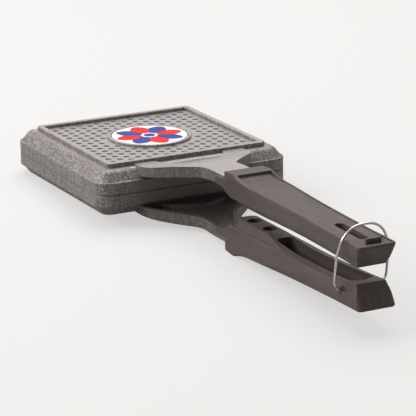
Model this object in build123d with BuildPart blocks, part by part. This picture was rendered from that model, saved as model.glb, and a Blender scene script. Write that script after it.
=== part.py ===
from build123d import *
import math
import os

os.makedirs("parts", exist_ok=True)

# Pie iron: two square cast plates hinged at the far edge, each on a waisted bracket
# with a moulded handle, locked by a wire bail. Millimetres, +X towards the handles,
# +Z up. The origin is the centre of the lower plate's flat burner face.
# Each half is drawn as the upper one, with its heights measured from the parting plane.

# Plate casting
plate_size = 144.0
plate_corner_radius = 12.5
flange_height = 8.7
flange_edge_round = 0.9
parting_chamfer = 0.6
dome_inset = 1.5
dome_height = 6.8
dome_draft = 38.0
dome_round = 5.0
floor_thickness = 3.2
sealing_rim = 6.0
cavity_corner_radius = 9.0
cavity_draft = 22.0
cavity_round = 3.0
casting_height = flange_height + dome_height
cavity_depth = casting_height - floor_thickness

# Raised square rim and dimpled panel
rim_size = 120.4
rim_width = 4.4
rim_height = 3.2
rim_corner_radius = 3.5
rim_edge_round = 0.7
panel_rise = 0.8
dent_diameter = 4.5
dent_depth = 1.0
dent_pitch_x = 8.0
dent_pitch_y = 6.7
dent_rows = 16
dent_edge_gap = 3.4

# Badge in its boss
badge_radius = 26.9
badge_thickness = 1.0
badge_clearance = 0.1
boss_wall = 2.5
boss_height = 1.6
boss_edge_round = 0.5
dent_boss_gap = 2.6
badge_seat_depth = 1.3

# Bracket between plate and handle; its reaches are counted from the plate's edge
web_root_inset = 14.0
web_root_half_width = 41.0
web_root_height = 16.6
web_rise_points = ((4.0, 0.8), (18.0, 3.0), (32.0, 4.4))
web_shoulder_reach = 4.5
web_shoulder_radius = 24.0
web_waist_reach = 32.3
web_waist_radius = 14.0
web_waist_half_width = 12.2
web_length = 51.0
web_sheet = 3.2
lip_thickness = 3.0
lip_bottom_end = 14.8
lip_bottom_points = ((21.0, 12.6), (2.0, 10.6))
lip_bottom_root = 9.5
tongue_top = 22.1
tongue_thickness = 2.7
tongue_length = 16.2
web_recess_radius = 26.5
web_recess_center_inset = 18.5
web_recess_floor = 14.0
web_recess_sheet = 2.4
web_recess_wall = 1.5

# Tang inside the handle
tang_overlap = 4.0
tang_half_width = 6.5
tang_thickness = 7.5
tang_length = 47.0
tang_clearance = 0.2

# Handle; its reaches are counted from the neck's start, and those past the pad stretch with it
handle_length = 184.5
laid_out_length = 184.5
handle_end_slant = 9.0
web_end_gap = 0.15
collar_reach = 14.6
collar_front_height = 25.6
collar_top_start = 26.5
collar_half_width = 13.7
collar_corner_radius = 1.5
ridge_reach = 29.0
ridge_height = 27.4
neck_bottom = 14.5
root_points = ((17.0, 9.6), (12.5, 12.8))
side_points = (
    (28.0, 14.4), (45.0, 14.6), (64.0, 14.2), (83.0, 13.45), (104.0, 12.9), (125.0, 12.7)
)
end_half_width = 13.15
outer_points = (
    (33.7, 26.0), (38.0, 25.0), (43.0, 24.3), (52.0, 23.8), (82.0, 22.8), (122.0, 21.65), (152.0, 20.7)
)
end_top = 20.15
ledge_points = (
    (157.0, 6.9), (140.0, 7.7), (117.0, 8.25), (99.0, 8.4), (77.0, 8.8), (52.0, 9.2), (25.0, 9.2)
)
end_ledge = 5.7
section_points = (
    (9.9, 4.5), (10.25, 6.5), (10.75, 8.4), (11.7, 10.8), (12.5, 14.0), (13.0, 17.5), (13.9, 21.0),
    (14.8, 24.5),
)
end_corner_radius = 3.0
outer_edge_round = 1.3
border_width = 2.0
border_height = 0.5
border_foot_points = ((1.8, 25.0), (4.0, 24.2), (10.0, 23.7), (16.0, 23.4))
border_wall_inset = 1.0
border_end_width = 2.4

# Raised pad and lip on the handle's inner side
pad_height = 4.7
pad_start_reach = 19.5
pad_end_reach = 60.0
pad_half_width = 6.2
pad_corner_radius = 4.5
pad_side_slope = 42.0
pad_top = 9.8
lip_side_points = ((61.0, 6.2), (85.0, 7.6), (117.0, 7.75), (157.0, 9.0))
lip_end_half_width = 10.1
lip_level_points = (
    (67.0, 5.6), (75.0, 6.5), (85.0, 7.3), (99.0, 7.8), (117.0, 7.65), (140.0, 7.1), (157.0, 6.3)
)
end_lip = 5.1
lip_edge_round = 0.8
seam_half_width = 10.3
seam_start_reach = 84.0
seam_drop = 0.75
seam_width = 0.5

# Openings of the grip
pocket_reach = 69.5
pocket_end_inset = 18.0
pocket_start_half_width = 6.05
pocket_end_half_width = 8.4
pocket_corner_radius = 3.5
pocket_top = 17.6
hang_slot_length = 33.0
hang_slot_width = 6.5
hang_slot_inset = 32.3

# Stop rib at the upper grip's end, and the soft notches beside it
stop_inset = 7.1
stop_thickness = 1.6
stop_width = 10.4
stop_top = 23.0
stop_edge_round = 0.7
notch_inset = 17.5
notch_radius = 12.0
notch_depth = 0.6
notch_lean = 9.0
notch_side_half_width = 12.4
notch_side_height = 13.5

# Handle screws, driven from the inner side into the tang
screw_reaches = (31.5, 51.5)
screw_radius = 2.5
screw_fit_clearance = 0.05
screw_way_clearance = 0.4
screw_head_radius = 4.3
screw_head_height = 2.9
screw_recess_radius = 4.9
screw_seat_height = 12.4
screw_tip_depth = 6.0
screw_tip_gap = 0.5
screw_head_round = 1.2
screw_cross_length = 5.0
screw_cross_width = 1.1
screw_cross_depth = 1.6
washer_bore_clearance = 0.2
washer_thickness = 1.0
washer_radius = 4.2

# Hinge
hinge_offset = 6.0
knuckle_radius = 5.0
center_knuckle_length = 26.0
side_knuckle_length = 12.0
knuckle_side_gap = 0.4
pin_radius = 2.5
pin_clearance = 0.05
pin_head_radius = 4.0
pin_head_length = 2.0
pin_head_round = 0.8
clip_bore_clearance = 0.03
pin_end_overhang = 2.4
clip_radius = 4.6
clip_thickness = 0.8
lug_height = 7.0
lug_lift = 0.4

# Wire bail, in the plane of its two legs; its pivot is counted from the handle's end
wire_radius = 0.8
bail_pivot_inset = 22.0
bail_pivot_height = -12.27
bail_lean = 7.3
bail_half_width = 18.0
bail_leg_height = 16.0
bail_crown_height = 25.7
bail_crown_power = 2.45
bail_crown_steps = 6
bail_elbow_radius = 7.5
bail_hook_reach = 6.2
bail_hole_clearance = 0.06
bail_dimple_radius = 3.75
bail_dimple_depth = 2.4
bail_dimple_half_width = 12.1

half_plate = plate_size / 2
hinge_x = -half_plate - hinge_offset
parting = Plane.XY.offset(casting_height)
panel_height = casting_height + panel_rise
rim_top = casting_height + rim_height
boss_radius = badge_radius + boss_wall
web_root_x = half_plate - web_root_inset
neck_start = half_plate + web_length
collar_face = neck_start + collar_reach
collar_start = neck_start + tongue_length
ridge_x = neck_start + ridge_reach
handle_end = neck_start + handle_length
grip_stretch = (handle_length - laid_out_length) / (laid_out_length - pad_end_reach)
pocket_end = handle_end - pocket_end_inset
tang_top = tongue_top
tang_bottom = tongue_top - tang_thickness
tang_root = neck_start - tang_overlap
tang_end = collar_start + tang_length
tongue_bottom = tongue_top - tongue_thickness
screw_positions = [neck_start + reach for reach in screw_reaches]
bail_pivot_x = handle_end - bail_pivot_inset


def edges_at(all_faces, height):
    """Edges of the level faces that lie at a height."""
    level = all_faces.filter_by(Axis.Z).filter_by_position(Axis.Z, height - 0.01, height + 0.01)
    return level.edges()


def along(points, start=neck_start, lift=0.0):
    """Points given as (reach from start, height), raised by lift; the grip's stretch with it."""
    return [
        (start + reach + grip_stretch * max(0, reach - pad_end_reach), height + lift)
        for reach, height in points
    ]


def web_side_curve(drop=0.0):
    """Curve of the bracket's top from the plate to the tongue, lowered by drop."""
    return Spline(
        (web_root_x, web_root_height - drop),
        *along(web_rise_points, half_plate, web_root_height - drop),
        (neck_start, tongue_top - drop),
        tangents=((1, 0.02), (1, 0)),
    )


def web_plan():
    """Plan of the bracket: wide at the plate, waisted down to the tongue."""
    with BuildSketch() as plan:
        with BuildLine():
            side = FilletPolyline(
                (web_root_x, web_root_half_width),
                (half_plate + web_shoulder_reach, web_root_half_width),
                (half_plate + web_waist_reach, web_waist_half_width),
                (collar_start, web_waist_half_width),
                radius=(web_shoulder_radius, web_waist_radius),
            )
            Line((web_root_x, 0), side @ 0)
            Line(side @ 1, (collar_start, 0))
            mirror(about=Plane.XZ)
        make_face()
    return plan.sketch


# Space under the bracket's sheet, between its two lips
with BuildPart() as web_hollow:
    with BuildSketch():
        add(web_plan())
        offset(amount=-lip_thickness, mode=Mode.REPLACE)
    extrude(amount=tongue_top)
    with BuildSketch(Plane.XZ):
        with BuildLine():
            underside = web_side_curve(web_sheet)
            Polyline(underside @ 1, (neck_start, 0), (web_root_x, 0), underside @ 0)
        make_face()
    extrude(amount=web_root_half_width, both=True, mode=Mode.INTERSECT)

# Floor and wall of the round recess where the bracket meets the plate
web_recess_x = half_plate - web_recess_center_inset
with BuildPart() as web_recess_cup:
    with BuildSketch(Plane.XY.offset(web_recess_floor - web_recess_sheet)):
        with Locations((web_recess_x, 0)):
            Circle(web_recess_radius + web_recess_wall)
        with Locations((web_root_x, 0)):
            Rectangle(plate_size, plate_size, align=(Align.MIN, Align.CENTER), mode=Mode.INTERSECT)
    extrude(amount=web_recess_sheet + web_recess_wall)

# Bracket, cast in one with each plate
with BuildPart() as web:
    with BuildSketch():
        add(web_plan())
    extrude(amount=tongue_top + 1)
    with BuildSketch(Plane.XZ):
        with BuildLine():
            web_top = web_side_curve()
            tongue = Polyline(
                web_top @ 1,
                (collar_start, tongue_top),
                (collar_start, tongue_bottom),
                (neck_start, tongue_bottom),
                (neck_start, lip_bottom_end),
            )
            lip = Spline(
                tongue @ 1, *along(lip_bottom_points, half_plate), (web_root_x, lip_bottom_root)
            )
            Line(lip @ 1, web_top @ 0)
        make_face()
    extrude(amount=web_root_half_width, both=True, mode=Mode.INTERSECT)
    add(web_hollow.part, mode=Mode.SUBTRACT)
    add(web_recess_cup.part)
    with BuildSketch(Plane.XY.offset(web_recess_floor)):
        with Locations((web_recess_x, 0)):
            Circle(web_recess_radius)
    extrude(amount=tongue_top, mode=Mode.SUBTRACT)



def dent_points(keep_clear):
    """Staggered lattice of dents inside the rim, leaving out a disc of radius keep_clear."""
    reach = rim_size / 2 - rim_width - dent_edge_gap
    columns = int(reach // dent_pitch_x) + 1
    points = []
    for row in range(dent_rows):
        y = (row - (dent_rows - 1) / 2) * dent_pitch_y
        shift = dent_pitch_x / 2 * (row % 2)
        for column in range(-columns, columns + 1):
            x = column * dent_pitch_x + shift
            if abs(x) <= reach and math.hypot(x, y) >= keep_clear:
                points.append((x, y))
    return points


def dents(surface_height, keep_clear):
    """Balls that press the dents into a flat face at surface_height."""
    ball_radius = ((dent_diameter / 2) ** 2 + dent_depth**2) / (2 * dent_depth)
    center_height = surface_height + ball_radius - dent_depth
    with BuildPart() as balls:
        with Locations([(x, y, center_height) for x, y in dent_points(keep_clear)]):
            Sphere(ball_radius)
    return balls.part


# Plate with its bracket and tang, common to both halves
with BuildPart() as casting:
    with BuildSketch():
        RectangleRounded(plate_size, plate_size, plate_corner_radius)
    extrude(amount=flange_height)
    chamfer(faces().sort_by(Axis.Z)[0].edges(), parting_chamfer)
    fillet(faces().sort_by(Axis.Z)[-1].edges(), flange_edge_round)
    dome_base = plate_size - 2 * dome_inset
    with BuildSketch(Plane.XY.offset(flange_height)):
        RectangleRounded(dome_base, dome_base, plate_corner_radius - dome_inset)
    extrude(amount=dome_height, taper=dome_draft)
    fillet(faces().sort_by(Axis.Z)[-1].edges(), dome_round)
    add(web.part)
    cavity_mouth = plate_size - 2 * sealing_rim
    with BuildSketch():
        RectangleRounded(cavity_mouth, cavity_mouth, cavity_corner_radius)
    extrude(amount=cavity_depth, taper=cavity_draft, mode=Mode.SUBTRACT)
    fillet(edges_at(faces(), cavity_depth), cavity_round)
    with BuildSketch(Plane.XY.offset(tang_bottom)):
        with Locations((tang_root, 0)):
            Rectangle(
                tang_end - tang_root, 2 * tang_half_width, align=(Align.MIN, Align.CENTER)
            )
    extrude(amount=tang_thickness)
    with Locations([(x, 0, tang_bottom) for x in screw_positions]):
        Cylinder(
            screw_radius + screw_fit_clearance,
            screw_tip_depth,
            align=(Align.CENTER, Align.CENTER, Align.MIN),
            mode=Mode.SUBTRACT,
        )


def knuckles(lugs):
    """Hinge knuckles on the flange, for a list of (centre along Y, length)."""
    with BuildPart() as barrel:
        for center, length in lugs:
            with BuildSketch(Plane.XZ.offset(-center)):
                with Locations((hinge_x, 0)):
                    Circle(knuckle_radius)
                with BuildLine():
                    Polyline(
                        (hinge_x, lug_lift),
                        (hinge_x, knuckle_radius),
                        (-half_plate + dome_inset, lug_height),
                        (-half_plate + dome_inset, lug_lift),
                        close=True,
                    )
                make_face()
            extrude(amount=length / 2, both=True)
    return barrel.part


def pin_bore():
    """Bore through all knuckles."""
    with BuildPart() as bore:
        with BuildSketch(Plane.XZ):
            with Locations((hinge_x, 0)):
                Circle(pin_radius + pin_clearance)
        extrude(amount=barrel_half_length + 1, both=True)
    return bore.part


side_knuckle_center = center_knuckle_length / 2 + knuckle_side_gap + side_knuckle_length / 2
barrel_half_length = side_knuckle_center + side_knuckle_length / 2

# Upper plate: raised rim, dented panel, boss with the badge seat, centre knuckle
with BuildPart() as upper_casting:
    add(casting.part)
    add(knuckles([(0, center_knuckle_length)]))
    add(pin_bore(), mode=Mode.SUBTRACT)
    with BuildSketch(Plane.XY.offset(casting_height)):
        RectangleRounded(rim_size, rim_size, rim_corner_radius)
    extrude(amount=rim_height)
    panel_size = rim_size - 2 * rim_width
    panel_corner = max(rim_corner_radius - rim_width, 1.0)
    with BuildSketch(Plane.XY.offset(panel_height)):
        RectangleRounded(panel_size, panel_size, panel_corner)
    extrude(amount=rim_height, mode=Mode.SUBTRACT)
    fillet(edges_at(faces(), rim_top), rim_edge_round)
    with BuildSketch(Plane.XY.offset(panel_height)):
        Circle(boss_radius)
    extrude(amount=boss_height)
    with BuildSketch(Plane.XY.offset(panel_height + boss_height)):
        Circle(badge_radius + badge_clearance)
    extrude(amount=-badge_seat_depth, mode=Mode.SUBTRACT)
    fillet(edges_at(faces(), panel_height + boss_height), boss_edge_round)
    add(dents(panel_height, boss_radius + dent_boss_gap), mode=Mode.SUBTRACT)

# Lower plate: flat burner face with the same dents, two side knuckles
with BuildPart() as lower_casting:
    add(casting.part)
    add(knuckles([(s * side_knuckle_center, side_knuckle_length) for s in (-1, 1)]))
    add(pin_bore(), mode=Mode.SUBTRACT)
    add(dents(casting_height, 0), mode=Mode.SUBTRACT)

# Badge disc in the boss
with BuildPart() as badge:
    with BuildSketch(Plane.XY.offset(panel_height + boss_height - badge_seat_depth)):
        Circle(badge_radius)
    extrude(amount=badge_thickness)


def outer_curve(drop=0.0):
    """Curve of the handle's outer face from the collar's ridge to the end."""
    return Spline(
        (ridge_x, ridge_height - drop),
        *along(outer_points, lift=-drop),
        (handle_end, end_top - drop),
        tangents=((1, -0.32), (1, -0.018)),
    )


def lip_level_curve(lift=0.0):
    """Curve of the raised lip's level on the handle's inner side, from the pad to the end."""
    return Spline(
        (neck_start + pad_end_reach, pad_height + lift),
        *along(lip_level_points, lift=lift),
        (handle_end - handle_end_slant, end_lip + lift),
        tangents=((1, 0.05), (1, -0.07)),
    )


def handle_plan(inset=0.0):
    """Plan of the handle, its sides drawn in by inset: flush neck, wide collar, grip."""
    with BuildSketch() as plan:
        with BuildLine():
            Polyline(
                (neck_start + web_end_gap, 0),
                (neck_start + web_end_gap, web_waist_half_width),
                (collar_face, web_waist_half_width),
                (collar_face, collar_half_width - inset),
            )
            bends = [(collar_face, collar_half_width - inset), *along(side_points, lift=-inset)]
            for first in range(0, len(bends) - 2, 2):
                ThreePointArc(*bends[first : first + 3])
            Polyline(bends[-1], (handle_end + 1, end_half_width - inset), (handle_end + 1, 0))
            mirror(about=Plane.XZ)
        make_face()
        if inset == 0:
            fillet(
                vertices().filter_by(
                    lambda v: abs(v.X - collar_face) < 0.1 and abs(v.Y) > web_waist_half_width + 1
                ),
                collar_corner_radius,
            )
    return plan.sketch


# Shallow sunk face of the handle's outer side: a steep wall behind the ridge, lips beside
with BuildPart() as border_panel:
    panel_start = ridge_x + border_wall_inset
    panel_end = handle_end - border_end_width
    with BuildSketch(Plane.XZ):
        with BuildLine():
            sunk = Spline(
                *along(border_foot_points, ridge_x),
                *along(outer_points[3:], lift=-border_height),
                (panel_end, end_top - border_height),
            )
            Polyline(
                sunk @ 1,
                (panel_end, ridge_height + 1),
                (panel_start, ridge_height + 1),
                sunk @ 0,
            )
        make_face()
    extrude(amount=collar_half_width + 2, both=True)
    with BuildSketch():
        add(handle_plan(border_width))
    extrude(amount=ridge_height + 2, mode=Mode.INTERSECT)

# Raised pad round the screws and lip round the pocket, on the inner side
with BuildPart() as inner_lip:
    lip_start = neck_start + pad_start_reach
    with BuildSketch(Plane.XY.offset(pad_height)):
        with BuildLine():
            Polyline(
                (lip_start, 0),
                (lip_start, pad_half_width),
                *along(lip_side_points),
                (handle_end, lip_end_half_width),
                (handle_end, 0),
            )
            mirror(about=Plane.XZ)
        make_face()
        fillet(vertices().filter_by_position(Axis.X, lip_start - 0.1, lip_start + 0.1), pad_corner_radius)
    extrude(amount=pad_top - pad_height, taper=-pad_side_slope)
    with BuildSketch(Plane.XZ):
        with BuildLine():
            level = lip_level_curve()
            Polyline(
                level @ 1,
                (handle_end, end_top),
                (neck_start, end_top),
                (neck_start, pad_height),
                level @ 0,
            )
        make_face()
    extrude(amount=plate_size, both=True, mode=Mode.INTERSECT)
    fillet(
        edges().filter_by(lambda e: e.bounding_box().max.Z < pad_top - 1 and abs(e.center().Y) > 1),
        lip_edge_round,
    )

# Handle, one moulding for both halves
with BuildPart() as handle:
    with BuildSketch(Plane.XY.offset(ridge_height)):
        add(handle_plan())
    extrude(amount=end_lip - 1 - ridge_height)
    with BuildSketch(Plane.XZ):
        with BuildLine():
            Polyline(
                (neck_start, neck_bottom),
                (neck_start, tongue_bottom - tang_clearance),
                (collar_face, tongue_bottom - tang_clearance),
                (collar_face, collar_front_height),
                (collar_start, collar_top_start),
                (ridge_x, ridge_height),
            )
            outer = outer_curve()
            end_slope = handle_end_slant / (end_top - end_lip)
            ledge_end_x = handle_end - end_slope * (end_top - end_ledge)
            end_line = Line(outer @ 1, (ledge_end_x, end_ledge))
            ledge = Spline(end_line @ 1, *along(ledge_points), tangents=((-1, 0.07), (-1, 0)))
            Spline(
                ledge @ 1, *along(root_points), (neck_start, neck_bottom),
                tangents=((-1, 0), (-1, 0.05)),
            )
        make_face()
    extrude(amount=collar_half_width + 2, both=True, mode=Mode.INTERSECT)
    end_corners = edges().filter_by(
        lambda e: e.center().X > handle_end - handle_end_slant
        and abs(e.center().Y) > end_half_width - 2
        and end_lip + 3 < e.center().Z < end_top - 3
    )
    fillet(end_corners, end_corner_radius)
    fillet(
        edges().filter_by(lambda e: e.center().X > ridge_x + 10 and e.center().Z > end_top - 1),
        outer_edge_round,
    )
    add(inner_lip.part)
    # convex drafted sides
    with BuildSketch(Plane.YZ.offset(neck_start)):
        with BuildLine():
            flank = Spline(*section_points)
            Polyline(flank @ 1, (section_points[-1][0], ridge_height + 1), (0, ridge_height + 1))
            Polyline(flank @ 0, (section_points[0][0], 0), (0, 0))
            mirror(about=Plane.YZ)
        make_face()
    extrude(amount=handle_length, mode=Mode.INTERSECT)
    # end face, level with the lip
    with BuildSketch(Plane.XZ):
        with BuildLine():
            Polyline(
                outer @ 1,
                (handle_end - handle_end_slant, end_lip),
                (handle_end - handle_end_slant, 0),
                (handle_end + 1, 0),
                (handle_end + 1, end_top),
                close=True,
            )
        make_face()
    extrude(amount=collar_half_width, both=True, mode=Mode.SUBTRACT)
    add(border_panel.part, mode=Mode.SUBTRACT)
    # seam line beside the lip
    for side in (-1, 1):
        with BuildSketch(Plane.XZ.offset(-side * seam_half_width)):
            with BuildLine():
                seam_low = lip_level_curve(seam_drop)
                seam_high = lip_level_curve(seam_drop + seam_width)
                Line(seam_low @ 0, seam_high @ 0)
                Line(seam_low @ 1, seam_high @ 1)
            make_face()
            with Locations((neck_start + seam_start_reach, 0)):
                Rectangle(
                    handle_length, ridge_height, align=(Align.MIN, Align.MIN), mode=Mode.INTERSECT
                )
        extrude(amount=-side * collar_half_width, mode=Mode.SUBTRACT)
    # recess and way of each screw
    with Locations([(x, 0, screw_seat_height) for x in screw_positions]):
        Cylinder(
            screw_recess_radius,
            screw_seat_height,
            align=(Align.CENTER, Align.CENTER, Align.MAX),
            mode=Mode.SUBTRACT,
        )
        Cylinder(
            screw_radius + screw_way_clearance,
            tang_thickness,
            align=(Align.CENTER, Align.CENTER, Align.MIN),
            mode=Mode.SUBTRACT,
        )
    # socket of the tang
    with BuildSketch(Plane.XY.offset(tang_bottom - tang_clearance)):
        with Locations((neck_start, 0)):
            Rectangle(
                tang_end - neck_start + tang_clearance,
                2 * (tang_half_width + tang_clearance),
                align=(Align.MIN, Align.CENTER),
            )
    extrude(amount=tang_thickness + 2 * tang_clearance, mode=Mode.SUBTRACT)
    # slot of the tongue, across the whole collar's mouth
    with BuildSketch(Plane.XY.offset(tongue_bottom - tang_clearance)):
        with Locations((collar_face, 0)):
            Rectangle(
                collar_start - collar_face + tang_clearance,
                2 * (web_waist_half_width + tang_clearance),
                align=(Align.MIN, Align.CENTER),
            )
    extrude(amount=tongue_thickness + 2 * tang_clearance, mode=Mode.SUBTRACT)
    # open pocket of the grip, hanging slot
    with BuildSketch():
        with BuildLine():
            Polyline(
                (neck_start + pocket_reach, 0),
                (neck_start + pocket_reach, pocket_start_half_width),
                (pocket_end, pocket_end_half_width),
                (pocket_end, 0),
            )
            mirror(about=Plane.XZ)
        make_face()
        fillet(
            vertices().filter_by(lambda v: abs(v.Y) > pocket_start_half_width - 1), pocket_corner_radius
        )
    extrude(amount=pocket_top, mode=Mode.SUBTRACT)
    with BuildSketch():
        with Locations((handle_end - hang_slot_inset, 0)):
            SlotOverall(hang_slot_length, hang_slot_width)
    extrude(amount=ridge_height, mode=Mode.SUBTRACT)


def to_upper(half):
    """Set a half drawn from z = 0 on top of the parting plane."""
    with BuildPart() as placed:
        with Locations((0, 0, casting_height)):
            add(half)
    return placed.part


def to_lower(half):
    """Set a half drawn from z = 0 under the parting plane, mirrored."""
    with BuildPart() as placed:
        with Locations((0, 0, casting_height)):
            add(half)
        mirror(about=parting, mode=Mode.REPLACE)
    return placed.part


# Upper handle's half: the same moulding with a stop rib, and a soft notch for each bail leg
with BuildPart() as notched_handle:
    add(handle.part)
    with Locations((handle_end - stop_inset, 0, stop_top)):
        Box(
            stop_thickness,
            stop_width,
            stop_top - end_top + 2 * border_height,
            align=(Align.CENTER, Align.CENTER, Align.MAX),
        )
    fillet(edges_at(faces(), stop_top), stop_edge_round)
    notch_axis_y = notch_side_half_width + notch_radius - notch_depth
    for side in (-1, 1):
        notch_place = Location(
            (handle_end - notch_inset, side * notch_axis_y, notch_side_height),
            (-side * notch_lean, 0, 0),
        )
        with Locations(notch_place):
            Cylinder(notch_radius, 2 * ridge_height, mode=Mode.SUBTRACT)

# Lower handle's half: the same moulding with two holes and dimples for the bail
with BuildPart() as bail_handle:
    add(handle.part)
    with BuildSketch(Plane.XZ):
        with Locations((bail_pivot_x, -bail_pivot_height)):
            Circle(wire_radius + bail_hole_clearance)
    extrude(amount=collar_half_width, both=True, mode=Mode.SUBTRACT)
    dimple_y = bail_dimple_half_width + bail_dimple_radius - bail_dimple_depth
    for side in (-1, 1):
        with Locations((bail_pivot_x, side * dimple_y, -bail_pivot_height)):
            Sphere(bail_dimple_radius, mode=Mode.SUBTRACT)


# Two handle screws of one half, head towards the parting plane
washer_bottom = screw_seat_height - washer_thickness
with BuildPart() as screws:
    with Locations([(x, 0, washer_bottom) for x in screw_positions]):
        Cylinder(
            screw_head_radius,
            screw_head_height,
            align=(Align.CENTER, Align.CENTER, Align.MAX),
        )
    fillet(edges_at(faces(), washer_bottom - screw_head_height), screw_head_round)
    with Locations([(x, 0, washer_bottom) for x in screw_positions]):
        Cylinder(
            screw_radius,
            tang_bottom + screw_tip_depth - screw_tip_gap - washer_bottom,
            align=(Align.CENTER, Align.CENTER, Align.MIN),
        )
    with BuildSketch(Plane.XY.offset(washer_bottom - screw_head_height)):
        with Locations([(x, 0) for x in screw_positions]):
            Rectangle(screw_cross_length, screw_cross_width)
            Rectangle(screw_cross_width, screw_cross_length)
    extrude(amount=screw_cross_depth, mode=Mode.SUBTRACT)

# Two lock washers of one half
with BuildPart() as washers:
    with BuildSketch(Plane.XY.offset(washer_bottom)):
        with Locations([(x, 0) for x in screw_positions]):
            Circle(washer_radius)
            Circle(screw_radius + washer_bore_clearance, mode=Mode.SUBTRACT)
    extrude(amount=washer_thickness)

# Upper half, placed
with BuildPart() as upper_plate:
    add(to_upper(upper_casting.part))
upper_plate.part.label = "upper_plate"
export_step(upper_plate.part, "parts/upper_plate.step")

with BuildPart() as upper_badge:
    add(to_upper(badge.part))
upper_badge.part.label = "badge"
export_step(upper_badge.part, "parts/badge.step")

with BuildPart() as upper_handle:
    add(to_upper(notched_handle.part))
upper_handle.part.label = "upper_handle"
export_step(upper_handle.part, "parts/upper_handle.step")

with BuildPart() as upper_handle_screws:
    add(to_upper(screws.part))
upper_handle_screws.part.label = "upper_handle_screws"
export_step(upper_handle_screws.part, "parts/upper_handle_screws.step")

with BuildPart() as upper_handle_washers:
    add(to_upper(washers.part))
upper_handle_washers.part.label = "upper_handle_washers"
export_step(upper_handle_washers.part, "parts/upper_handle_washers.step")

# Lower half, placed
with BuildPart() as lower_plate:
    add(to_lower(lower_casting.part))
lower_plate.part.label = "lower_plate"
export_step(lower_plate.part, "parts/lower_plate.step")

with BuildPart() as lower_handle:
    add(to_lower(bail_handle.part))
lower_handle.part.label = "lower_handle"
export_step(lower_handle.part, "parts/lower_handle.step")

with BuildPart() as lower_handle_screws:
    add(to_lower(screws.part))
lower_handle_screws.part.label = "lower_handle_screws"
export_step(lower_handle_screws.part, "parts/lower_handle_screws.step")

with BuildPart() as lower_handle_washers:
    add(to_lower(washers.part))
lower_handle_washers.part.label = "lower_handle_washers"
export_step(lower_handle_washers.part, "parts/lower_handle_washers.step")

# Hinge pin through all knuckles: head at one end, room for the clip at the other
hinge_height = casting_height
with BuildPart() as hinge_pin:
    with BuildSketch(Plane.XZ.offset(barrel_half_length)):
        with Locations((hinge_x, hinge_height)):
            Circle(pin_radius)
    extrude(amount=-2 * barrel_half_length - pin_end_overhang)
    with BuildSketch(Plane.XZ.offset(barrel_half_length)):
        with Locations((hinge_x, hinge_height)):
            Circle(pin_head_radius)
    extrude(amount=pin_head_length)
    fillet(faces().sort_by(Axis.Y)[0].edges(), pin_head_round)
hinge_pin.part.label = "hinge_pin"
export_step(hinge_pin.part, "parts/hinge_pin.step")

# Push-on ring that keeps the pin in
with BuildPart() as hinge_clip:
    with BuildSketch(Plane.XZ.offset(-barrel_half_length)):
        with Locations((hinge_x, hinge_height)):
            Circle(clip_radius)
            Circle(pin_radius + clip_bore_clearance, mode=Mode.SUBTRACT)
    extrude(amount=-clip_thickness)
hinge_clip.part.label = "hinge_clip"
export_step(hinge_clip.part, "parts/hinge_clip.step")

# Wire bail, standing over the upper handle; its two hooks turn in the lower handle
lean = math.radians(bail_lean)
bail_plane = Plane(
    origin=(0, 0, 0), x_dir=(0, 1, 0), z_dir=(math.cos(lean), 0, -math.sin(lean))
)
elbow_start = bail_half_width - bail_elbow_radius
crown_angles = [math.radians(90 * step / bail_crown_steps) for step in range(bail_crown_steps)]
crown_share = 2 / bail_crown_power
crown_side = [
    (
        bail_half_width * math.cos(angle) ** crown_share,
        bail_leg_height + bail_crown_height * math.sin(angle) ** crown_share,
    )
    for angle in crown_angles
]
with BuildPart() as bail_wire:
    with BuildLine(bail_plane) as wire:
        Line((bail_hook_reach, 0), (elbow_start, 0))
        CenterArc((elbow_start, bail_elbow_radius), bail_elbow_radius, -90, 90)
        Line((bail_half_width, bail_elbow_radius), (bail_half_width, bail_leg_height))
        Spline(
            *crown_side,
            (0, bail_leg_height + bail_crown_height),
            *[(-y, height) for y, height in reversed(crown_side)],
            tangents=((0, 1), (0, -1)),
        )
        Line((-bail_half_width, bail_leg_height), (-bail_half_width, bail_elbow_radius))
        CenterArc((-elbow_start, bail_elbow_radius), bail_elbow_radius, 180, 90)
        Line((-elbow_start, 0), (-bail_hook_reach, 0))
    with BuildSketch(Plane(origin=wire.line @ 0, z_dir=wire.line % 0)):
        Circle(wire_radius)
    sweep()
with BuildPart() as bail:
    with Locations((bail_pivot_x, 0, casting_height + bail_pivot_height)):
        add(bail_wire.part)
bail.part.label = "bail"
export_step(bail.part, "parts/bail.step")
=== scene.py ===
import bpy
import math
from mathutils import Matrix, Vector

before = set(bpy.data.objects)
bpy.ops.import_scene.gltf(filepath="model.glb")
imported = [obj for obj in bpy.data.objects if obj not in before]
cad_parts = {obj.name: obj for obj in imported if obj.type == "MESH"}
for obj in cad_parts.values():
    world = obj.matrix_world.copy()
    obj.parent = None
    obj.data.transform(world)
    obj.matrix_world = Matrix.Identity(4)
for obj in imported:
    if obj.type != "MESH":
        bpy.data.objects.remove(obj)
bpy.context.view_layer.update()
MM = 0.001

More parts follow.
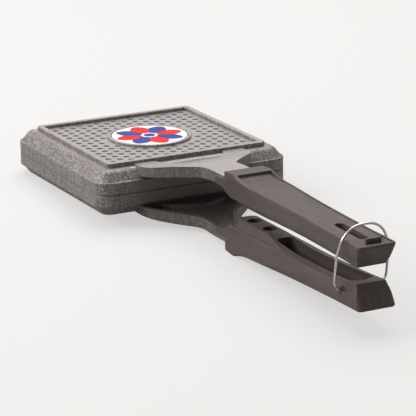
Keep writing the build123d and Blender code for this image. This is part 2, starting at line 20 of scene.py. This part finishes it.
# ---------------------------------------------------------------------------------------
# The two plates. Each is one aluminium casting with its bracket and knuckles, coated
# inside and out with dark stoving enamel and a paler speckled coat, smooth on the level faces,
# rough and in faint runs on the standing ones. Painted sheen: the level faces are coloured
# much lighter for the top light. Painted shade: the dents, the brackets' lips, the faces
# turned inwards and the walls between the brackets are coloured darker.
# ---------------------------------------------------------------------------------------
# painted sheen: the level faces' lighter colour stands in for the top light on them
ENAMEL_LEVEL_SHEEN = (0.500, 0.452, 0.444)
ENAMEL_GREY = (0.118, 0.100, 0.096)
ENAMEL_FLECK = (0.300, 0.266, 0.258)
# dark specks of the coat, and also the colour of the painted shade on the brackets' lips
ENAMEL_SPECK_AND_SHADE = (0.070, 0.058, 0.054)
# painted shade in the dents
ENAMEL_DENT_SHADE = (0.022, 0.019, 0.018)
# painted shade on faces turned inwards and on the walls between the brackets
ENAMEL_PAINTED_SHADE = (0.150, 0.130, 0.121)
ENAMEL_IOR = 1.75
ENAMEL_RELIEF = 0.03 * MM
ENAMEL_ROUGHNESS = (0.22, 0.30)
STANDING_ROUGHER = 0.30
FLECK_SIZE = 1.5 * MM
RUN_SIZE = 2.2 * MM
RUN_SQUEEZE = 0.12
RUN_BAND = (0.40, 0.68)
RUN_SHARE = 0.6
LEVEL_TILT = (0.90, 0.992)
INWARD_TILT = (-0.6, -0.2)
# shares of the second coat's effects: on the level faces, then on the standing ones
FLECK_SHARES = (0.40, 1.0)
SPECK_SHARES = (0.3, 0.75)
METAL_SHARES = (0.40, 0.14)
RELIEF_SHARES = (0.25, 1.0)
PARTING = 15.5 * MM
PANEL_LEVEL = 16.3 * MM
PANEL_HALF = 57.5 * MM
DENT_SHALLOW = 0.03 * MM
DENT_SIDE = 0.25 * MM
DENT_FLOOR = 1.2 * MM
RIM_HALF = 62.3 * MM
BRACKET_HALF = 45.5 * MM
BRACKET_FADE = 2.0 * MM
BRACKET_WALL_X = 66.0 * MM
BRACKET_WALL_BAND = (9.5 * MM, 12.5 * MM)
LIP_START = 73.0 * MM
# share of painted shade on the brackets' lips
LIP_PAINTED_SHADE = 0.5


def new_material(name):
    """An empty node material: (material, its node tree, its Principled BSDF)."""
    mat = bpy.data.materials.new(name)
    mat.use_nodes = True
    tree = mat.node_tree
    return mat, tree, tree.nodes["Principled BSDF"]


def maths(tree, operation, first, second=None, third=None):
    """A Math node's output; each input is a socket or a number."""
    node = tree.nodes.new("ShaderNodeMath")
    node.operation = operation
    for place, value in enumerate((first, second, third)):
        if isinstance(value, bpy.types.NodeSocket):
            tree.links.new(value, node.inputs[place])
        elif value is not None:
            node.inputs[place].default_value = value
    return node.outputs[0]


def spread(tree, value, low, high, to_low=0.0, to_high=1.0):
    """A value mapped smoothly from low..high to to_low..to_high."""
    node = tree.nodes.new("ShaderNodeMapRange")
    node.interpolation_type = "SMOOTHSTEP"
    tree.links.new(value, node.inputs["Value"])
    for key, number in (
        ("From Min", low), ("From Max", high), ("To Min", to_low), ("To Max", to_high)
    ):
        node.inputs[key].default_value = number
    return node.outputs["Result"]


def blend_colour(tree, share, first, second):
    """Mix of two colours; each is a socket or three numbers."""
    node = tree.nodes.new("ShaderNodeMix")
    node.data_type = "RGBA"
    tree.links.new(share, node.inputs["Factor"])
    for key, value in ((6, first), (7, second)):
        if isinstance(value, bpy.types.NodeSocket):
            tree.links.new(value, node.inputs[key])
        else:
            node.inputs[key].default_value = (*value, 1)
    return node.outputs[2]


def noise(tree, place, size, detail=2.0, roughness=0.5):
    """Noise of a given grain size on object coordinates."""
    node = tree.nodes.new("ShaderNodeTexNoise")
    node.inputs["Scale"].default_value = 1.0 / size
    node.inputs["Detail"].default_value = detail
    node.inputs["Roughness"].default_value = roughness
    tree.links.new(place, node.inputs["Vector"])
    return node.outputs["Fac"]


def make_grain_group():
    """Shared group: fine flecks, dark specks and soft blotches over any surface."""
    group = bpy.data.node_groups.new("fine_grain", "ShaderNodeTree")
    face = group.interface
    face.new_socket("Place", in_out="INPUT", socket_type="NodeSocketVector")
    face.new_socket("Fleck size", in_out="INPUT", socket_type="NodeSocketFloat")
    for name in ("Flecks", "Specks", "Blotches"):
        face.new_socket(name, in_out="OUTPUT", socket_type="NodeSocketFloat")
    start = group.nodes.new("NodeGroupInput")
    end = group.nodes.new("NodeGroupOutput")
    scale = maths(group, "DIVIDE", 1.0, start.outputs["Fleck size"])
    for name, fineness, low, high, detail in (
        ("Flecks", 1.0, 0.47, 0.60, 3.0), ("Specks", 1.4, 0.54, 0.64, 2.0),
        ("Blotches", 0.07, 0.3, 0.7, 4.0),
    ):
        cells = group.nodes.new("ShaderNodeTexNoise")
        cells.inputs["Detail"].default_value = detail
        group.links.new(start.outputs["Place"], cells.inputs["Vector"])
        group.links.new(maths(group, "MULTIPLY", scale, fineness), cells.inputs["Scale"])
        group.links.new(spread(group, cells.outputs["Fac"], low, high), end.inputs[name])
    return group


GRAIN = make_grain_group()


def add_grain(tree, place, size):
    """The fine-grain group placed in a material, with its own fleck size."""
    node = tree.nodes.new("ShaderNodeGroup")
    node.node_tree = GRAIN
    node.inputs["Fleck size"].default_value = size
    tree.links.new(place, node.inputs["Place"])
    return node.outputs


def bump(tree, bsdf, height, depth, strength=1.0):
    """Bump of a depth in metres onto a Principled BSDF."""
    node = tree.nodes.new("ShaderNodeBump")
    node.inputs["Distance"].default_value = depth
    node.inputs["Strength"].default_value = strength
    tree.links.new(height, node.inputs["Height"])
    tree.links.new(node.outputs["Normal"], bsdf.inputs["Normal"])


def outward_height(tree, spot):
    """Distance from the parting plane, and its sign: +1 above and -1 below."""
    height = maths(tree, "SUBTRACT", spot["Z"], PARTING)
    return maths(tree, "ABSOLUTE", height), maths(tree, "SIGN", height)


def dent_mask(tree, spot, off_parting):
    """1 on the sides and floors of the dents, where shade is painted; 0 elsewhere."""
    sunk = spread(tree, off_parting, PANEL_LEVEL - DENT_SIDE, PANEL_LEVEL - DENT_SHALLOW, 1.0, 0.0)
    above_floor = maths(tree, "GREATER_THAN", off_parting, PANEL_LEVEL - DENT_FLOOR)
    in_panel = maths(tree, "LESS_THAN", spot["off centre"], PANEL_HALF)
    return maths(tree, "MULTIPLY", sunk, maths(tree, "MULTIPLY", above_floor, in_panel))


def painted_shade_mask(tree, spot, facing, off_parting, side):
    """1 where shade is painted: faces turned inwards, and walls between brackets."""
    inward = spread(tree, maths(tree, "MULTIPLY", facing, side), *INWARD_TILT, 1.0, 0.0)
    wall = maths(tree, "MULTIPLY", spread(tree, off_parting, *BRACKET_WALL_BAND, 1.0, 0.0),
                 maths(tree, "GREATER_THAN", spot["X"], BRACKET_WALL_X))
    behind_bracket = spread(
        tree, spot["aside"], BRACKET_HALF - BRACKET_FADE, BRACKET_HALF + BRACKET_FADE, 1.0, 0.0
    )
    return maths(tree, "MAXIMUM", inward, maths(tree, "MULTIPLY", wall, behind_bracket))


def make_enamel():
    """Speckled enamel: painted sheen on level faces; painted shade in dents, on lips and inward
    faces, between brackets.
    """
    mat, tree, bsdf = new_material("speckled_enamel")
    coords = tree.nodes.new("ShaderNodeTexCoord")
    place = coords.outputs["Object"]
    grain = add_grain(tree, place, FLECK_SIZE)
    turned = tree.nodes.new("ShaderNodeSeparateXYZ")
    tree.links.new(coords.outputs["Normal"], turned.inputs[0])
    facing = turned.outputs["Z"]
    position = tree.nodes.new("ShaderNodeSeparateXYZ")
    tree.links.new(place, position.inputs[0])
    spot = {axis: position.outputs[axis] for axis in "XYZ"}
    spot["aside"] = maths(tree, "ABSOLUTE", spot["Y"])
    spot["off centre"] = maths(tree, "MAXIMUM", maths(tree, "ABSOLUTE", spot["X"]), spot["aside"])
    off_parting, side = outward_height(tree, spot)

    # standing faces, and the narrow ledge round the rim, which is given their colour and grain
    outside = maths(tree, "GREATER_THAN", spot["off centre"], RIM_HALF)
    off_bracket = maths(tree, "MAXIMUM", maths(tree, "GREATER_THAN", spot["aside"], BRACKET_HALF),
                        maths(tree, "LESS_THAN", spot["X"], 0.0))
    steep = spread(tree, maths(tree, "ABSOLUTE", facing), *LEVEL_TILT, 1.0, 0.0)
    standing = maths(tree, "MAXIMUM", steep, maths(tree, "MULTIPLY", outside, off_bracket))

    # runs, flecks and specks of the second coat
    runs_map = tree.nodes.new("ShaderNodeMapping")
    runs_map.inputs["Scale"].default_value = (1.0, 1.0, RUN_SQUEEZE)
    tree.links.new(place, runs_map.inputs["Vector"])
    runs = spread(tree, noise(tree, runs_map.outputs[0], RUN_SIZE, 3.0), *RUN_BAND)
    fleck_share = spread(tree, standing, 0, 1, *FLECK_SHARES)
    fleck_share = maths(tree, "MULTIPLY", grain["Flecks"], fleck_share)
    run_share = maths(tree, "MULTIPLY", maths(tree, "MULTIPLY", runs, standing), RUN_SHARE)
    speck_share = spread(tree, standing, 0, 1, *SPECK_SHARES)
    speck_share = maths(tree, "MULTIPLY", grain["Specks"], speck_share)
    # level faces take the paler colour, a painted sheen of the top light; standing faces the grey
    colour = blend_colour(tree, standing, ENAMEL_LEVEL_SHEEN, ENAMEL_GREY)
    colour = blend_colour(tree, fleck_share, colour, ENAMEL_FLECK)
    colour = blend_colour(tree, run_share, colour, ENAMEL_FLECK)
    colour = blend_colour(tree, speck_share, colour, ENAMEL_SPECK_AND_SHADE)

    # painted shade: darker on the brackets' lips, on faces turned inwards, between the brackets
    # and in the dents
    lip = maths(tree, "MULTIPLY", maths(tree, "GREATER_THAN", spot["X"], LIP_START), steep)
    colour = blend_colour(tree, maths(tree, "MULTIPLY", lip, LIP_PAINTED_SHADE), colour, ENAMEL_SPECK_AND_SHADE)
    shade_share = painted_shade_mask(tree, spot, facing, off_parting, side)
    colour = blend_colour(tree, shade_share, colour, ENAMEL_PAINTED_SHADE)
    # painted shade in the dents
    colour = blend_colour(tree, dent_mask(tree, spot, off_parting), colour, ENAMEL_DENT_SHADE)
    tree.links.new(colour, bsdf.inputs["Base Color"])

    # smooth and a little metallic where level, rougher where standing
    rough = maths(tree, "ADD", spread(tree, grain["Blotches"], 0, 1, *ENAMEL_ROUGHNESS),
                  maths(tree, "MULTIPLY", standing, STANDING_ROUGHER))
    tree.links.new(rough, bsdf.inputs["Roughness"])
    bsdf.inputs["IOR"].default_value = ENAMEL_IOR
    tree.links.new(spread(tree, standing, 0, 1, *METAL_SHARES), bsdf.inputs["Metallic"])
    relief = maths(tree, "ADD", grain["Flecks"], maths(tree, "MULTIPLY", grain["Blotches"], 0.6))
    relief = maths(tree, "MULTIPLY", relief, spread(tree, standing, 0, 1, *RELIEF_SHARES))
    bump(tree, bsdf, relief, ENAMEL_RELIEF)
    return mat


def dress(node, material):
    """Give a frame node its material, in the slot it already has."""
    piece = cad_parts[node]
    if not piece.material_slots:
        piece.data.materials.append(material)
    for place in piece.material_slots:
        place.material = material


enamel = make_enamel()
for plate in ("upper_plate", "lower_plate"):
    dress(plate, enamel)

# ---------------------------------------------------------------------------------------
# The two handles. Both are the same dark brown-grey moulding of filled phenolic, slid over
# the tang and screwed to it from the inner side. The skin is satin, with a fine flow grain.
# ---------------------------------------------------------------------------------------
PHENOLIC = (0.086, 0.065, 0.062)
PHENOLIC_PALE = (0.110, 0.083, 0.080)
PHENOLIC_DARK = (0.058, 0.045, 0.043)
PHENOLIC_IOR = 1.33
PHENOLIC_RELIEF = 0.02 * MM
PHENOLIC_ROUGHNESS = (0.36, 0.46)
FILLER_SIZE = 0.7 * MM
FLOW_SIZE = 3.5 * MM
FLOW_STRETCH = 0.15
FLOW_BAND = (0.35, 0.70)
FILLER_SHARE = 0.45
DARK_SHARE = 0.6


def make_phenolic():
    """Satin moulded phenolic with pale filler flecks and faint flow marks along the grip."""
    mat, tree, bsdf = new_material("moulded_phenolic")
    place = tree.nodes.new("ShaderNodeTexCoord").outputs["Object"]
    grain = add_grain(tree, place, FILLER_SIZE)
    flow_map = tree.nodes.new("ShaderNodeMapping")
    flow_map.inputs["Scale"].default_value = (FLOW_STRETCH, 1.0, 1.0)
    tree.links.new(place, flow_map.inputs["Vector"])
    flow = spread(tree, noise(tree, flow_map.outputs[0], FLOW_SIZE, 4.0), *FLOW_BAND)
    fleck_share = maths(tree, "MULTIPLY", grain["Flecks"], FILLER_SHARE)
    speck_share = maths(tree, "MULTIPLY", grain["Specks"], DARK_SHARE)
    colour = blend_colour(tree, flow, PHENOLIC, PHENOLIC_PALE)
    colour = blend_colour(tree, fleck_share, colour, PHENOLIC_PALE)
    colour = blend_colour(tree, speck_share, colour, PHENOLIC_DARK)
    tree.links.new(colour, bsdf.inputs["Base Color"])
    rough = spread(tree, grain["Blotches"], 0, 1, *PHENOLIC_ROUGHNESS)
    tree.links.new(rough, bsdf.inputs["Roughness"])
    bsdf.inputs["IOR"].default_value = PHENOLIC_IOR
    bump(tree, bsdf, maths(tree, "ADD", grain["Flecks"], flow), PHENOLIC_RELIEF)
    return mat


phenolic = make_phenolic()
for grip in ("upper_handle", "lower_handle"):
    dress(grip, phenolic)

# ---------------------------------------------------------------------------------------
# The badge. A printed and lacquered metal disc, glued into the boss of the upper plate:
# a white field inside a bare metal edge, with a rosette of red and blue petals.
# ---------------------------------------------------------------------------------------
BADGE_WHITE = (0.78, 0.78, 0.76)
BADGE_RED = (0.62, 0.006, 0.008)
BADGE_BLUE = (0.026, 0.036, 0.240)
BADGE_METAL = (0.50, 0.49, 0.48)
BADGE_EDGE = 26.2 * MM
PETAL_REACH = 23.6 * MM
PETAL_START = 5.6 * MM
PETAL_WIDTH = 15.5 * MM
PETAL_TAPER = 0.62
PETAL_TIP = 1.06
PETALS = 8
CORE_RADIUS = 4.1 * MM
LINE_SOFTNESS = 0.12 * MM
LACQUER_IOR = 1.2
LACQUER_ROUGHNESS = (0.24, 0.34)
PRINT_RELIEF = 0.01 * MM
SCRATCH_SIZE = 0.5 * MM
SCRATCH_SHARE = 0.10


def make_badge_print():
    """Petal rosette on white, drawn from the distance and the angle round the disc's centre."""
    mat, tree, bsdf = new_material("badge_print")
    place = tree.nodes.new("ShaderNodeTexCoord").outputs["Object"]
    split = tree.nodes.new("ShaderNodeSeparateXYZ")
    tree.links.new(place, split.inputs[0])
    x, y = split.outputs["X"], split.outputs["Y"]
    squares = [maths(tree, "MULTIPLY", value, value) for value in (x, y)]
    radius = maths(tree, "SQRT", maths(tree, "ADD", *squares))

    # petals: each is drawn about the nearest of the evenly spread axes
    turn = maths(tree, "MULTIPLY", maths(tree, "ARCTAN2", y, x), PETALS / (2 * math.pi))
    near = maths(tree, "ROUND", turn)
    off_axis = maths(tree, "ABSOLUTE", maths(tree, "SUBTRACT", turn, near))
    off_axis = maths(tree, "MULTIPLY", off_axis, 2 * math.pi / PETALS)
    across = maths(tree, "MULTIPLY", maths(tree, "SINE", off_axis), radius)
    along = maths(tree, "SUBTRACT", radius, PETAL_START)
    along = maths(tree, "DIVIDE", along, PETAL_REACH - PETAL_START)
    to_tip = maths(tree, "MAXIMUM", maths(tree, "SUBTRACT", PETAL_TIP, along), 0.0)
    hump = maths(tree, "MULTIPLY", maths(tree, "MAXIMUM", along, 0.0), to_tip)
    half_width = maths(tree, "MULTIPLY", maths(tree, "POWER", hump, PETAL_TAPER), PETAL_WIDTH)
    inside = spread(tree, maths(tree, "SUBTRACT", half_width, across), 0.0, LINE_SOFTNESS)
    odd = maths(tree, "GREATER_THAN", maths(tree, "PINGPONG", near, 1.0), 0.5)
    petals = blend_colour(tree, odd, BADGE_RED, BADGE_BLUE)

    # white field, blue core, worn print, bare metal edge
    core = spread(tree, radius, CORE_RADIUS, CORE_RADIUS + LINE_SOFTNESS, 1.0, 0.0)
    edge = spread(tree, radius, BADGE_EDGE, BADGE_EDGE + LINE_SOFTNESS)
    wear = add_grain(tree, place, SCRATCH_SIZE)
    colour = blend_colour(tree, inside, BADGE_WHITE, petals)
    colour = blend_colour(tree, core, colour, BADGE_BLUE)
    scratched = maths(tree, "MULTIPLY", wear["Specks"], SCRATCH_SHARE)
    colour = blend_colour(tree, scratched, colour, BADGE_METAL)
    tree.links.new(blend_colour(tree, edge, colour, BADGE_METAL), bsdf.inputs["Base Color"])
    tree.links.new(edge, bsdf.inputs["Metallic"])
    rough = spread(tree, wear["Blotches"], 0, 1, *LACQUER_ROUGHNESS)
    tree.links.new(rough, bsdf.inputs["Roughness"])
    bsdf.inputs["IOR"].default_value = LACQUER_IOR
    bump(tree, bsdf, maths(tree, "ADD", inside, wear["Blotches"]), PRINT_RELIEF)
    return mat


dress("badge", make_badge_print())

# ---------------------------------------------------------------------------------------
# Screws, washers, hinge pin and its ring. Zinc-plated steel turned and pressed parts, with
# fine turning marks and a dull bloom on the plating.
# ---------------------------------------------------------------------------------------
ZINC = (0.52, 0.52, 0.51)
ZINC_DULL = (0.36, 0.36, 0.37)
ZINC_ROUGHNESS = (0.26, 0.42)
TURNING_SIZE = 0.3 * MM
STEEL_RELIEF = 0.01 * MM


def make_steel(name, bright, dull, roughness, mark_size):
    """Plated or drawn steel: dull blotches, and fine marks of a size, from smooth to rough."""
    mat, tree, bsdf = new_material(name)
    place = tree.nodes.new("ShaderNodeTexCoord").outputs["Object"]
    grain = add_grain(tree, place, mark_size)
    tree.links.new(blend_colour(tree, grain["Blotches"], bright, dull), bsdf.inputs["Base Color"])
    bsdf.inputs["Metallic"].default_value = 1.0
    tree.links.new(spread(tree, grain["Flecks"], 0, 1, *roughness), bsdf.inputs["Roughness"])
    bump(tree, bsdf, grain["Flecks"], STEEL_RELIEF)
    return mat


zinc = make_steel("zinc_plate", ZINC, ZINC_DULL, ZINC_ROUGHNESS, TURNING_SIZE)
for fastener in (
    "upper_handle_screws", "upper_handle_washers", "lower_handle_screws", "lower_handle_washers",
    "hinge_pin", "hinge_clip",
):
    dress(fastener, zinc)

# ---------------------------------------------------------------------------------------
# The bail. One length of bright drawn steel wire, bent to a hoop, its ends hooked into the
# lower handle.
# ---------------------------------------------------------------------------------------
WIRE_BRIGHT = (0.80, 0.79, 0.78)
WIRE_DULL = (0.62, 0.60, 0.59)
WIRE_ROUGHNESS = (0.20, 0.30)
DRAWING_SIZE = 0.2 * MM
dress("bail", make_steel("drawn_wire", WIRE_BRIGHT, WIRE_DULL, WIRE_ROUGHNESS, DRAWING_SIZE))

# ---------------------------------------------------------------------------------------
# Table top. The closed iron rests on the far edge of its lower plate and on the ridge of
# the lower handle's collar, so the table is tilted about Y in the frame of the plates. It
# is matt paper that gives little light back; a glow that only the camera sees whitens it.
# ---------------------------------------------------------------------------------------
FAR_EDGE = Vector((-62.3 * MM, 0, 0.0))
COLLAR_RIDGE = Vector((152.0 * MM, 0, PARTING - 27.4 * MM))
TABLE_SPAN = 30.0
PAPER = (0.620, 0.615, 0.605)
PAPER_BOUNCE = (0.42, 0.418, 0.410)
PAPER_GLOW = 0.62
PAPER_WHITE = (0.915, 0.903, 0.886)

table_mesh = bpy.data.meshes.new("table_top")
slope = (COLLAR_RIDGE.z - FAR_EDGE.z) / (COLLAR_RIDGE.x - FAR_EDGE.x)
corners = []
for sx, sy in ((-1, -1), (1, -1), (1, 1), (-1, 1)):
    x = sx * TABLE_SPAN / 2
    corners.append((x, sy * TABLE_SPAN / 2, FAR_EDGE.z + slope * (x - FAR_EDGE.x)))
table_mesh.from_pydata(corners, [], [(0, 1, 2, 3)])
table_top = bpy.data.objects.new("table_top", table_mesh)
bpy.context.scene.collection.objects.link(table_top)

paper, paper_tree, paper_bsdf = new_material("table_paper")
paper_tree.nodes.remove(paper_bsdf)
sheet = paper_tree.nodes.new("ShaderNodeBsdfDiffuse")
lens = paper_tree.nodes.new("ShaderNodeLightPath")
seen = lens.outputs["Is Camera Ray"]
paper_tree.links.new(blend_colour(paper_tree, seen, PAPER_BOUNCE, PAPER), sheet.inputs["Color"])
white = paper_tree.nodes.new("ShaderNodeEmission")
white.inputs["Color"].default_value = (*PAPER_WHITE, 1)
mix = paper_tree.nodes.new("ShaderNodeMixShader")
paper_tree.links.new(maths(paper_tree, "MULTIPLY", seen, PAPER_GLOW), mix.inputs["Fac"])
paper_tree.links.new(sheet.outputs[0], mix.inputs[1])
paper_tree.links.new(white.outputs[0], mix.inputs[2])
paper_tree.links.new(mix.outputs[0], paper_tree.nodes["Material Output"].inputs["Surface"])
table_mesh.materials.append(paper)

# ---------------------------------------------------------------------------------------
# Studio light: a broad soft box over and behind the iron, a second one to the left of the
# camera's view, and a dim room that is brighter behind the iron than behind the camera.
# ---------------------------------------------------------------------------------------
AIM = Vector((70 * MM, 0, PARTING))
ROOM_TINT = (1.0, 0.995, 0.985)
BRIGHT_SIDE = (-0.85, 0.50, 0.15)
ROOM_SPREAD = (-0.55, 0.75)
ROOM_STRENGTH = (0.20, 0.54)


def soft_box(name, place, size_x, size_y, power):
    """Rectangular area lamp at a place, turned towards the iron."""
    data = bpy.data.lights.new(name, "AREA")
    data.shape = "RECTANGLE"
    data.size = size_x
    data.size_y = size_y
    data.energy = power
    lamp = bpy.data.objects.new(name, data)
    bpy.context.scene.collection.objects.link(lamp)
    place = Vector(place)
    lamp.matrix_world = Matrix.Translation(place) @ (
        (AIM - place).to_track_quat("-Z", "Y").to_matrix().to_4x4()
    )


soft_box("top_box", place=(-0.45, 0.30, 1.5), size_x=1.6, size_y=1.6, power=26)
soft_box("left_box", place=(-0.40, -1.4, 1.0), size_x=1.2, size_y=0.9, power=24)

world = bpy.data.worlds.new("room")
bpy.context.scene.world = world
world.use_nodes = True
room = world.node_tree
way = room.nodes.new("ShaderNodeVectorMath")
way.operation = "DOT_PRODUCT"
way.inputs[1].default_value = BRIGHT_SIDE
room.links.new(room.nodes.new("ShaderNodeTexCoord").outputs["Generated"], way.inputs[0])
background = room.nodes["Background"]
strength = spread(room, way.outputs["Value"], *ROOM_SPREAD, *ROOM_STRENGTH)
room.links.new(strength, background.inputs["Strength"])
background.inputs["Color"].default_value = (*ROOM_TINT, 1)

# ---------------------------------------------------------------------------------------
# Camera: a long lens, a little above the iron and to the -Y side of its handles, so that the
# handles come towards it and the plates lie behind them.
# ---------------------------------------------------------------------------------------
CAMERA_PLACE = Vector((1411.1 * MM, -679.0 * MM, 424.4 * MM + PARTING))
CAMERA_RIGHT = Vector((0.45985, 0.88791, -0.01243))
CAMERA_UP = Vector((-0.24519, 0.14042, 0.95925))
IMAGE_WIDTH = 416
FOCAL_PIXELS = 2312

camera_data = bpy.data.cameras.new("camera")
camera_data.sensor_width = 36.0
camera_data.lens = FOCAL_PIXELS / IMAGE_WIDTH * camera_data.sensor_width
camera_data.clip_start = 0.05
camera_data.clip_end = 100
camera = bpy.data.objects.new("camera", camera_data)
bpy.context.scene.collection.objects.link(camera)
back = CAMERA_RIGHT.cross(CAMERA_UP).normalized()
up = back.cross(CAMERA_RIGHT).normalized()
camera.matrix_world = Matrix.Translation(CAMERA_PLACE) @ Matrix(
    (CAMERA_RIGHT.normalized(), up, back)
).transposed().to_4x4()
bpy.context.scene.camera = camera
bpy.context.scene.view_settings.view_transform = "Standard"
